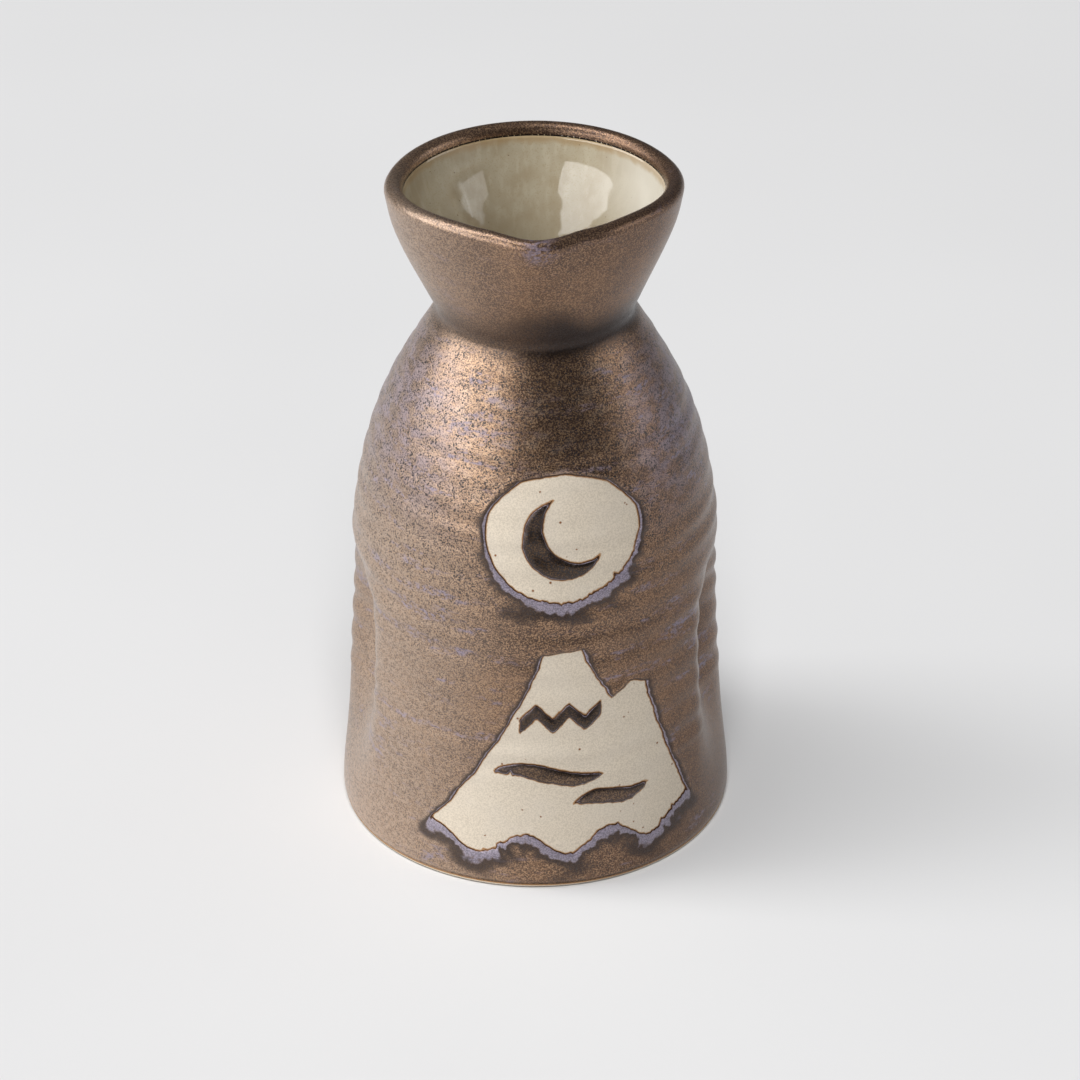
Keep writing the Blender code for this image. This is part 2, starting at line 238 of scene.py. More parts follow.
def round_radius(height):
    """Radius of the unpinched outside: a smooth curve through the stations."""
    levels, radii = OUTSIDE[:, 0], OUTSIDE[:, 1]
    last = len(levels) - 1
    before = np.maximum(np.arange(last + 1) - 1, 0)
    after = np.minimum(np.arange(last + 1) + 1, last)
    slopes = (radii[after] - radii[before]) / (levels[after] - levels[before])
    index = np.clip(np.searchsorted(levels, height, side="left") - 1, 0, last - 1)
    span = levels[index + 1] - levels[index]
    t = (height - levels[index]) / span
    rise = radii[index + 1] - radii[index]
    start, end = slopes[index] * span, slopes[index + 1] * span
    square, cube = 3.0 * rise - 2.0 * start - end, start + end - 2.0 * rise
    return radii[index] + start * t + square * t**2 + cube * t**3


def dent(angle, height):
    """How far the two finger dents push the wall in."""
    rise = ease((height - DENT_LOW) / (DENT_DEEPEST - DENT_LOW))
    fall = ease((DENT_HIGH - height) / (DENT_HIGH - DENT_DEEPEST))
    along = np.where(height < DENT_DEEPEST, rise, fall)
    around = 0.0
    for centre in (DENT_TURN - DENT_ANGLE, DENT_TURN + DENT_ANGLE):
        away = np.clip(np.abs(angle - centre) / DENT_HALF_WIDTH, 0.0, 1.0)
        around = around + np.cos(0.5 * math.pi * away) ** 2
    return DENT_DEPTH * along * around


def surface(angle, height):
    """Radius and level of the outside."""
    radius = round_radius(height) - dent(angle, height)
    flare = np.clip((radius - WAIST_RADIUS) / (RIM_RADIUS - WAIST_RADIUS), 0.0, None)
    flare = np.where(height > WAIST_HEIGHT, flare, 0.0)
    pinch = FLANK_PINCH * (1.0 - ease((np.abs(angle) - FLANK_FULL) / (FLANK_END - FLANK_FULL)))
    tip = 0.5 + 0.5 * np.cos(math.pi * np.clip(np.abs(angle - TIP_TURN) / TIP_HALF_WIDTH, 0.0, 1.0))
    inward = flare * (pinch - TIP_REACH * flare**2 * tip)
    return radius - inward, height + RIM_LIFT * inward


def directions(angle, height):
    """Tangent up the wall and normal into the clay, in the half-plane of each angle."""
    step = 0.4
    low = surface(angle, np.maximum(height - step, 0.0))
    high = surface(angle, np.minimum(height + step, RIM_HEIGHT))
    run, rise = high[0] - low[0], high[1] - low[1]
    length = np.hypot(run, rise)
    return (run / length, rise / length), (-rise / length, run / length)


def rings(angle, height):
    """Relief of the throwing rings and of the hand that turned them."""
    shrink = (RING_PITCH_LAST - RING_PITCH_FIRST) / (RING_LAST - RING_FIRST)
    drift = 0.45 * np.sin(angle + 0.6) + 0.25 * np.sin(2.0 * angle + 1.9)
    level = height + drift
    turns = np.log((RING_PITCH_FIRST + shrink * (level - RING_FIRST)) / RING_PITCH_FIRST) / shrink
    fade = ease((height - RING_FIRST + RING_FADE) / RING_FADE)
    fade = fade * ease((RING_LAST + RING_FADE - height) / RING_FADE)
    strength = 1.0 + 0.35 * np.sin(1.7 * turns + angle) + 0.2 * np.sin(3.0 * angle + 2.3 * turns)
    strength *= 0.95 - 0.50 * ease((height - 60.0) / 25.0)
    strength *= 1.0 - 0.35 * np.exp(-(((angle + 0.75) / 0.5) ** 2))
    sway = 0.06 * np.sin(5.0 * angle + 0.13 * height) + 0.05 * np.sin(3.0 * angle - 0.21 * height + 1.0)
    return 0.5 * RING_RELIEF * fade * strength * np.cos(2.0 * math.pi * turns) + sway


def wall(angle, height, depth):
    """Radius and level of a point at a depth under the outside."""
    radius, level = surface(angle, height)
    normal = directions(angle, height)[1]
    return radius + normal[0] * depth, level + normal[1] * depth


def lip(angle, turn, depth):
    """The rounded lip. The turn runs from 0 at its outer side to pi at its inner side."""
    radius, level = surface(angle, np.full_like(turn, RIM_HEIGHT))
    tangent, normal = directions(angle, np.full_like(turn, RIM_HEIGHT))
    half = 0.5 * LIP_THICKNESS
    across = half - (half - depth) * np.cos(turn)
    up = (half - depth) * np.sin(turn)
    return radius + normal[0] * across + tangent[0] * up, level + normal[1] * across + tangent[1] * up


def wall_thickness(height):
    """Thickness of the wall, which grows downward from the waist."""
    return LIP_THICKNESS + (BODY_THICKNESS - LIP_THICKNESS) * ease((WAIST_HEIGHT - height) / THICKENING)


# ---------------------------------------------------------------- rows and columns of the meshes

def steps(low, high, spacing):
    """Evenly spaced values from low to just before high."""
    count = max(1, int(round(abs(high - low) / spacing)))
    return np.linspace(low, high, count, endpoint=False)


def column_angles(fine, coarse):
    """Angles around the bottle, with one spacing across the figures and another around the rest."""
    low, high = FIGURE_TURN - FIGURE_SECTOR, FIGURE_TURN + FIGURE_SECTOR
    radius = OUTSIDE[1][1]
    return np.concatenate([
        steps(-math.pi, low, coarse / radius),
        steps(low, high, fine / radius),
        steps(high, math.pi, coarse / radius),
    ])


def row_heights(low):
    """Heights up the outside, finer across the figures and at the waist."""
    return np.concatenate([
        steps(low, FIGURE_ROWS[0], FOOT_ROW_SHARE * COARSE),
        steps(*FIGURE_ROWS, FINE),
        steps(FIGURE_ROWS[1], WAIST_ROWS[0], COARSE),
        steps(*WAIST_ROWS, WAIST_ROW_SHARE * COARSE),
        steps(WAIST_ROWS[1], RIM_HEIGHT, COARSE),
        [RIM_HEIGHT],
    ])


def inner_wall_rows(angle, depth, top, spacing):
    """The inside from a top height to the floor's centre, at a depth under its skin."""
    base = FLOOR_HEIGHT + FLOOR_FILLET
    heights = np.append(steps(top, base, spacing), base)[:, None]
    walls = wall(angle, heights, wall_thickness(heights) - depth)
    centre = wall(angle, np.array([[base]]), wall_thickness(base))[0] - FLOOR_FILLET
    turns = np.linspace(0.0, 0.5 * math.pi, 12)[1:, None]
    reach = FLOOR_FILLET + depth
    fillet = centre + reach * np.cos(turns), base - reach * np.sin(turns) + 0.0 * centre
    shares = np.linspace(1.0, 0.0, 16)[1:, None]
    floor = centre * shares, np.full_like(centre * shares, FLOOR_HEIGHT - depth)
    return [np.concatenate(pair) for pair in zip(walls, fillet, floor)]


def as_points(angle, radius, level):
    """World positions of a grid of rows and columns."""
    across, back = radius * np.sin(angle) * MM, -radius * np.cos(angle) * MM
    return np.stack([across, back, TABLE + level * MM], axis=-1)


# ---------------------------------------------------------------- outlines of the bare figures

def arc_outline(centre, half_width, half_height, first, last, count):
    turns = np.linspace(first, last, count, endpoint=False)
    return [(centre[0] + half_width * math.cos(t), centre[1] + half_height * math.sin(t)) for t in turns]


def disc_outline():
    points = []
    for turn in np.linspace(0.0, 2.0 * math.pi, 56, endpoint=False):
        wobble = 1.0 + 0.02 * math.sin(3.0 * turn + 1.0) + 0.008 * math.sin(7.0 * turn)
        level = DISC_HEIGHT + DISC_HALF_HEIGHT * wobble * math.sin(turn)
        points.append((DISC_HALF_WIDTH * wobble * math.cos(turn), level))
    return points


def crescent_outline():
    shift = CRESCENT_BITE_SHIFT
    reach = (shift**2 + CRESCENT_RADIUS**2 - CRESCENT_BITE_RADIUS**2) / (2.0 * shift)
    outer = math.acos(reach / CRESCENT_RADIUS)
    bite = math.acos((reach - shift) / CRESCENT_BITE_RADIUS)
    bite_centre = (shift * math.cos(CRESCENT_FACING), DISC_HEIGHT + shift * math.sin(CRESCENT_FACING))
    back = arc_outline(
        (0.0, DISC_HEIGHT), CRESCENT_RADIUS, CRESCENT_RADIUS,
        CRESCENT_FACING + outer, CRESCENT_FACING + 2.0 * math.pi - outer, 40,
    )
    front = arc_outline(
        bite_centre, CRESCENT_BITE_RADIUS, CRESCENT_BITE_RADIUS,
        CRESCENT_FACING - bite, CRESCENT_FACING - 2.0 * math.pi + bite, 40,
    )
    return back + front


def slope(top, foot):
    """Points down a hollow mountain slope."""
    return [
        (top[0] + (foot[0] - top[0]) * t**SLOPE_HOLLOW, top[1] + (foot[1] - top[1]) * t)
        for t in np.linspace(0.0, 1.0, 20)
    ]


def mountain_outline():
    """A blunt main peak with a lower one on its right. Its foot ends in scallops."""
    right = slope(MAIN_PEAK[1], SADDLE) + [SIDE_PEAK[0]] + slope(SIDE_PEAK[1], RIGHT_FOOT)
    foot = []
    for t in np.linspace(0.0, 1.0, 70)[1:-1]:
        level = RIGHT_FOOT[1] + (LEFT_FOOT[1] - RIGHT_FOOT[1]) * t
        drop = SCALLOP_DEPTH * math.sin(SCALLOPS * math.pi * t) ** 2
        foot.append((RIGHT_FOOT[0] + (LEFT_FOOT[0] - RIGHT_FOOT[0]) * t, level - drop))
    return right + foot + slope(MAIN_PEAK[0], LEFT_FOOT)[::-1]


def snow_outline():
    """A zigzag band across the main peak."""
    upper = []
    for turn in range(SNOW_TURNS + 1):
        across = SNOW_ENDS[0] + (SNOW_ENDS[1] - SNOW_ENDS[0]) * turn / SNOW_TURNS
        upper.append((across, SNOW_HEIGHT - SNOW_ZIGZAG * (-1.0) ** turn))
    return upper + [(x, z - SNOW_THICKNESS) for x, z in reversed(upper)]


def mist_outline(ends):
    """A drifting band of mist: a brush stroke that swells in the middle."""
    (start_x, start_z), (end_x, end_z) = ends
    upper, lower = [], []
    for t in np.linspace(0.0, 1.0, 24):
        half = 0.5 * MIST_THICKNESS * max(math.sin(math.pi * t), 0.0) ** 0.6
        x = start_x + (end_x - start_x) * t
        z = start_z + (end_z - start_z) * t + 0.25 * MIST_THICKNESS * math.sin(2.0 * math.pi * t)
        upper.append((x, z + half))
        lower.append((x, z - half))
    return upper + lower[-2:0:-1]


def wrapped(outline):
    """From the front plane to the unrolled wall: x becomes the arc along the wall."""
    points = np.array(outline, float)
    radius = round_radius(points[:, 1])
    return np.stack([radius * np.arcsin(points[:, 0] / radius), points[:, 1]], axis=1)


def resampled(points, spacing):
    """Evenly spaced points along a closed outline, their places along it, and its length."""
    closed = np.vstack([points, points[:1]])
    lengths = np.hypot(*np.diff(closed, axis=0).T)
    along = np.concatenate([[0.0], np.cumsum(lengths)])
    at = np.arange(0.0, along[-1], spacing)
    spaced = np.stack([np.interp(at, along, closed[:, 0]), np.interp(at, along, closed[:, 1])], axis=1)
    return spaced, at, along[-1]


def brushed(outline, seed, waves, teeth):
    """A brush's edge: softly uneven, with dry teeth where a stroke ends, low and on the right.
    The seed makes each figure its own."""
    draw = np.random.default_rng(seed)
    points, at, length = resampled(wrapped(outline), BRUSH_SPACING)
    ahead, behind = np.roll(points, -3, axis=0), np.roll(points, 3, axis=0)
    tangent = ahead - behind
    tangent /= np.linalg.norm(tangent, axis=1, keepdims=True) + 1e-9
    outward = np.stack([tangent[:, 1], -tangent[:, 0]], axis=1)
    x, z = points.T
    area = 0.5 * np.sum(x * np.roll(z, -1) - np.roll(x, -1) * z)
    outward *= math.copysign(1.0, area)
    dryness = np.clip(outward @ DRY_SIDE, 0.0, 1.0) ** 2
    shift = np.zeros(len(points))
    for wavelength, height, dry in BRUSH_WAVES:
        cycles = max(1, round(length / wavelength))
        weight = height + dry * dryness
        for harmonic in range(cycles, cycles + WAVE_HARMONICS):
            phase = draw.uniform(0.0, 2.0 * math.pi)
            shift += 0.5 * waves * weight * np.sin(2.0 * math.pi * harmonic * at / length + phase)
    for _ in range(teeth):
        centre = draw.uniform(0.0, length)
        depth = draw.uniform(*TOOTH_DEPTHS)
        width = draw.uniform(*TOOTH_WIDTHS)
        gap = np.abs((at - centre + 0.5 * length) % length - 0.5 * length)
        shift += depth * (0.12 + dryness) * np.clip(1.0 - gap / width, 0.0, 1.0)
    return points + outward * shift[:, None]


def inside_distance(polygon, across, level):
    """Signed distance to a closed outline, positive inside it."""
    flat_x, flat_z = across.ravel(), level.ravel()
    nearest = np.full(flat_x.shape, 1e9)
    inside = np.zeros(flat_x.shape, bool)
    following = np.roll(polygon, -1, axis=0)
    for (ax, az), (bx, bz) in zip(polygon, following):
        dx, dz = bx - ax, bz - az
        t = np.clip(((flat_x - ax) * dx + (flat_z - az) * dz) / (dx * dx + dz * dz + 1e-12), 0.0, 1.0)
        nearest = np.minimum(nearest, (flat_x - ax - t * dx) ** 2 + (flat_z - az - t * dz) ** 2)
        if az != bz:
            crosses = ((az > flat_z) != (bz > flat_z)) & (flat_x < dx * (flat_z - az) / dz + ax)
            inside ^= crosses
    return (np.where(inside, 1.0, -1.0) * np.sqrt(nearest)).reshape(across.shape)


# Each outline is brushed with its own seed, strength of waves and number of teeth.
FIGURES = {
    "disc": brushed(disc_outline(), 3, 0.55, 12),
    "mountain": brushed(mountain_outline(), 11, 0.6, 46),
}
ISLANDS = {
    "crescent_glaze": brushed(crescent_outline(), 5, 0.4, 3),
    "snow_line_glaze": brushed(snow_outline(), 7, 0.4, 3),
    "upper_mist_glaze": brushed(mist_outline(UPPER_MIST), 9, 0.45, 6),
    "lower_mist_glaze": brushed(mist_outline(LOWER_MIST), 13, 0.45, 6),
}


def figure_fields(angle, height):
    """Distances on a grid: into the figures' windows, into each island, and into the bare clay."""
    radius = round_radius(height)
    across, level = radius * (angle - FIGURE_TURN), height + 0.0 * angle
    window = np.maximum(*[inside_distance(outline, across, level) for outline in FIGURES.values()])
    islands = {name: inside_distance(outline, across, level) for name, outline in ISLANDS.items()}
    bare = window
    for island in islands.values():
        bare = np.minimum(bare, -island)
    return window, islands, bare


# ---------------------------------------------------------------- mesh building

BOTTLE, TABLE_SHEETS = [], []


def clipped_faces(keep):
    """Faces of a grid where keep is positive. Cells on the border are cut along it.
    Returns faces of vertex numbers, and the cut vertices as (grid vertex, grid vertex, share)."""
    rows, columns = keep.shape
    numbers = np.arange(rows * columns).reshape(rows, columns)
    corners = np.stack([
        numbers[:-1], np.roll(numbers, -1, axis=1)[:-1], np.roll(numbers, -1, axis=1)[1:], numbers[1:],
    ], axis=-1).reshape(-1, 4)
    values = keep.ravel()
    positive = values[corners] > 0.0
    whole = corners[positive.all(axis=1)]
    border = corners[positive.any(axis=1) & ~positive.all(axis=1)]
    cuts, cut_numbers, faces = [], {}, []
    for cell in border:
        face = []
        for here, there in zip(cell, np.roll(cell, -1)):
            if values[here] > 0.0:
                face.append(int(here))
            if (values[here] > 0.0) != (values[there] > 0.0):
                key = (min(here, there), max(here, there))
                if key not in cut_numbers:
                    cut_numbers[key] = rows * columns + len(cuts)
                    share = values[key[0]] / (values[key[0]] - values[key[1]])
                    cuts.append((key[0], key[1], share))
                face.append(cut_numbers[key])
        if len(face) > 2:
            faces.append(face)
    return whole.tolist() + faces, cuts


def grid_object(name, points, keep, fields, look):
    """A mesh object from a grid that closes around the bottle, cut where keep isn't positive."""
    faces, cuts = clipped_faces(keep)
    columns = [points.reshape(-1, 3)] + [values.reshape(-1, 1) for values in fields.values()]
    table = np.concatenate(columns, axis=1)
    if cuts:
        first, second, share = (np.array(part) for part in zip(*cuts))
        share = share[:, None]
        table = np.vstack([table, table[first] * (1.0 - share) + table[second] * share])
    used = np.unique(np.concatenate([np.array(face) for face in faces]))
    renumber = np.full(len(table), -1)
    renumber[used] = np.arange(len(used))
    table = table[used]
    data = bpy.data.meshes.new(name)
    data.from_pydata(table[:, :3].tolist(), [], [renumber[face].tolist() for face in faces])
    for column, key in enumerate(fields, start=3):
        attribute = data.attributes.new(key, "FLOAT", "POINT")
        attribute.data.foreach_set("value", table[:, column].astype(np.float32))
    return placed(name, data, look)


def placed(name, data, look):
    """A piece of the bottle from mesh data, with its material, added to the list of the bottle's pieces."""
    data.validate()
    data.shade_smooth()
    data.materials.append(look)
    piece = bpy.data.objects.new(name, data)
    bpy.context.scene.collection.objects.link(piece)
    BOTTLE.append(piece)
    return piece


def lay_coat(piece, node):
    """Gives a coat its thickness, and lets it stand for the node that it replaces."""
    solid = piece.modifiers.new("thickness", "SOLIDIFY")
    solid.thickness = COAT_SHEET * MM
    solid.offset = -1.0
    solid.use_rim = True
    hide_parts(node)
    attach(piece, "root")


def glaze_depth(distance):
    """Depth of the glaze's skin under its full height, at a distance from its edge: it tapers and beads."""
    full = CLAY_DEPTH * (1.0 - np.exp(-np.clip(distance, 0.0, None) / EDGE_TAPER))
    bead = BEAD_HEIGHT * np.exp(-(((distance - BEAD_PLACE) / BEAD_WIDTH) ** 2))
    return CLAY_DEPTH - full - bead


def halo_width(distance, window, angle, height):
    """Width of the pale halo along an edge: narrow above and beside it, wide where the glaze ran below it,
    and narrow inside a window."""
    row_steps = np.gradient(height[:, 0])[:, None]
    slope_up = np.gradient(distance, axis=0) / np.maximum(row_steps, 1e-6)
    below = np.clip(slope_up, 0.0, 1.0)
    beside = 1.0 - np.abs(np.clip(slope_up, -1.0, 1.0))
    uneven = 1.0 + 0.5 * np.sin(0.9 * height + 6.0 * angle) * np.sin(14.0 * angle + 1.3)
    outside = 0.11 + 0.44 * beside * uneven + 1.9 * below**2 * uneven
    within = 0.10 + 0.12 * uneven
    return np.where(window > 0.0, within, outside)


def build_outer_coat(look, dark_look, umber_look):
    """The coat over the outside and the lip, with its windows, and the islands of glaze in them."""
    angle = column_angles(FINE, COARSE)[None, :]
    heights = row_heights(COAT_START)[:, None]
    window, islands, bare = figure_fields(angle, heights)
    relief = rings(angle, heights)
    depth = glaze_depth(-bare) - relief
    depth *= ease((RIM_HEIGHT - heights) / RIM_FADE)
    foot_taper = np.exp(-(heights - COAT_START) / FOOT_TAPER) * CLAY_DEPTH
    outside = wall(angle, heights, depth + foot_taper)
    halo = -bare / halo_width(bare, window, angle, heights)

    turns = np.linspace(0.0, math.pi, COAT_LIP_ROWS)[1:, None]
    over = lip(angle, turns, np.zeros_like(turns))
    down = np.linspace(RIM_HEIGHT, COAT_END, COAT_END_ROWS)[1:, None]
    inside = wall(angle, down, np.full_like(down, LIP_THICKNESS))
    points = as_points(angle, *(np.concatenate(parts) for parts in zip(outside, over, inside)))

    beyond = np.full((len(turns) + len(down), angle.shape[1]), FAR_FROM_EDGE)
    to_end = np.concatenate([np.full((len(heights) + len(turns), 1), FAR_FROM_END), down - COAT_END])
    fields = {
        "edge": np.concatenate([bare, -beyond]),
        "halo": np.concatenate([halo, beyond]),
        "to_end": to_end + np.zeros_like(angle),
        "groove": np.concatenate([-relief / RING_RELIEF, np.zeros_like(beyond)]),
    }
    keep = np.concatenate([-window, beyond])
    lay_coat(grid_object("bronze_coat", points, keep, fields, look), "outer_glaze")
    for node, island in islands.items():
        keep = np.concatenate([island, -beyond])
        own_look = umber_look if "mist" in node else dark_look
        name = node.replace("_glaze", "_island")
        lay_coat(grid_object(name, points, keep, fields, own_look), node)


def foot_rows(angle):
    """Radii and levels of the underside, from its centre to its outer edge."""
    edge = surface(angle, np.array([[0.0]]))[0] - CLAY_DEPTH
    rows = [(np.full_like(edge, radius), level) for radius, level in UNDERSIDE]
    rows += [(edge - inset, level) for inset, level in FOOT_EDGE]
    radii = np.concatenate([radius for radius, level in rows])
    levels = np.concatenate([np.full_like(edge, level) for radius, level in rows])
    return radii, levels


def build_clay(look):
    """The whole pot of clay: the foot, the outside under the coats, the lip and the inside."""
    angle = column_angles(FINE, COARSE)[None, :]
    heights = row_heights(FOOT_CHAMFER)[:, None]
    bare = figure_fields(angle, heights)[2]
    foot = foot_rows(angle)
    relief = rings(angle, heights) * ease((RIM_HEIGHT - heights) / RIM_FADE)
    outside = wall(angle, heights, CLAY_DEPTH - relief)
    turns = np.linspace(0.0, math.pi, CLAY_LIP_ROWS)[1:-1, None]
    over = lip(angle, turns, np.full_like(turns, CLAY_DEPTH))
    inner = inner_wall_rows(angle, CLAY_DEPTH, RIM_HEIGHT, CLAY_INSIDE_SPACING)
    points = as_points(angle, *(np.concatenate(parts) for parts in zip(foot, outside, over, inner)))

    below = np.full((len(foot[0]), angle.shape[1]), FAR_FROM_EDGE)
    beyond = np.full((len(turns) + len(inner[0]), angle.shape[1]), FAR_FROM_EDGE)
    fields = {"edge": np.concatenate([below, bare, beyond])}
    clay = grid_object("stoneware", points, np.ones(points.shape[:2]), fields, look)
    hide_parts("stoneware_body")
    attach(clay, "root")


def build_inner_coat(look):
    """The liner, from just under the lip to the floor's centre."""
    angle = column_angles(LINER_FINE, LINER_FINE)[None, :]
    top = COAT_END + LINER_LAP
    radius, level = inner_wall_rows(angle, 0.0, top, LINER_SPACING)
    points = as_points(angle, radius, level)
    fields = {"to_top": np.maximum(top - level, 0.0)}
    liner = grid_object("cream_liner", points, np.ones(points.shape[:2]), fields, look)
    lay_coat(liner, "inner_glaze")


# ---------------------------------------------------------------- materials

class Graph:
    """A short way to write a node material."""

    def __init__(self, name):
        self.material = bpy.data.materials.new(name)
        self.material.use_nodes = True
        self.tree = self.material.node_tree
        self.shader = self.tree.nodes["Principled BSDF"]
        place = self.tree.nodes.new("ShaderNodeTexCoord").outputs["Object"]
        scale = self.tree.nodes.new("ShaderNodeVectorMath")
        scale.operation = "SCALE"
        self.tree.links.new(place, scale.inputs[0])
        scale.inputs["Scale"].default_value = 1.0 / MM
        self.place = scale.outputs["Vector"]

    def put(self, socket, value):
        if isinstance(value, bpy.types.NodeSocket):
            self.tree.links.new(value, socket)
        elif isinstance(value, tuple) and len(value) == 3 and socket.type == "RGBA":
            socket.default_value = (*value, 1.0)
        else:
            socket.default_value = value

    def math(self, operation, first, second=0.0):
        node = self.tree.nodes.new("ShaderNodeMath")
        node.operation = operation
        self.put(node.inputs[0], first)
        self.put(node.inputs[1], second)
        return node.outputs[0]

    def both(self, first, second):
        return self.math("MULTIPLY", first, second)

    def either(self, first, second):
        return self.math("MAXIMUM", first, second)

    def smooth(self, value, low, high, start=0.0, end=1.0):
        """A smooth step from start, where the value is low, to end, where it is high."""
        node = self.tree.nodes.new("ShaderNodeMapRange")
        node.interpolation_type = "SMOOTHSTEP"
        self.put(node.inputs["Value"], value)
        for key, given in (("From Min", low), ("From Max", high), ("To Min", start), ("To Max", end)):
            node.inputs[key].default_value = given
        return node.outputs["Result"]

    def mix(self, share, first, second):
        node = self.tree.nodes.new("ShaderNodeMix")
        node.data_type = "RGBA"
        self.put(node.inputs[0], share)
        self.put(node.inputs[6], first)
        self.put(node.inputs[7], second)
        return node.outputs[2]

    def along(self, axis):
        """The place along an axis, in millimetres."""
        node = self.tree.nodes.new("ShaderNodeSeparateXYZ")
        self.tree.links.new(self.place, node.inputs["Vector"])
        return node.outputs[axis]

    def stretched(self, scales):
        node = self.tree.nodes.new("ShaderNodeVectorMath")
        node.operation = "MULTIPLY"
        self.tree.links.new(self.place, node.inputs[0])
        node.inputs[1].default_value = scales
        return node.outputs["Vector"]

    def noise(self, size, detail=2.0, stretch=(1.0, 1.0, 1.0), rough=0.5):
        """A noise whose blotches are about this size, in millimetres."""
        node = self.tree.nodes.new("ShaderNodeTexNoise")
        self.tree.links.new(self.stretched(stretch), node.inputs["Vector"])
        node.inputs["Scale"].default_value = 1.0 / size
        node.inputs["Detail"].default_value = detail
        node.inputs["Roughness"].default_value = rough
        return node.outputs["Fac"]

    def uneven(self, size, detail, height):
        """A noise around 0, of a height from its lowest to its highest."""
        return self.both(self.math("SUBTRACT", self.noise(size, detail), 0.5), height)

    def spots(self, size):
        """Distance to the nearest of scattered points, as a share of the space between them."""
        node = self.tree.nodes.new("ShaderNodeTexVoronoi")
        self.tree.links.new(self.place, node.inputs["Vector"])
        node.inputs["Scale"].default_value = 1.0 / size
        return node.outputs["Distance"]

    def field(self, name):
        """A value stored on the mesh, such as the distance from an edge."""
        node = self.tree.nodes.new("ShaderNodeAttribute")
        node.attribute_name = name
        return node.outputs["Fac"]

    def bump(self, height, distance, strength=1.0, below=None):
        node = self.tree.nodes.new("ShaderNodeBump")
        node.inputs["Strength"].default_value = strength
        node.inputs["Distance"].default_value = distance * MM
        self.put(node.inputs["Height"], height)
        if below is not None:
            self.put(node.inputs["Normal"], below)
        return node.outputs["Normal"]

    def finish(self, **inputs):
        for key, value in inputs.items():
            self.put(self.shader.inputs[key.replace("_", " ")], value)
        return self.material


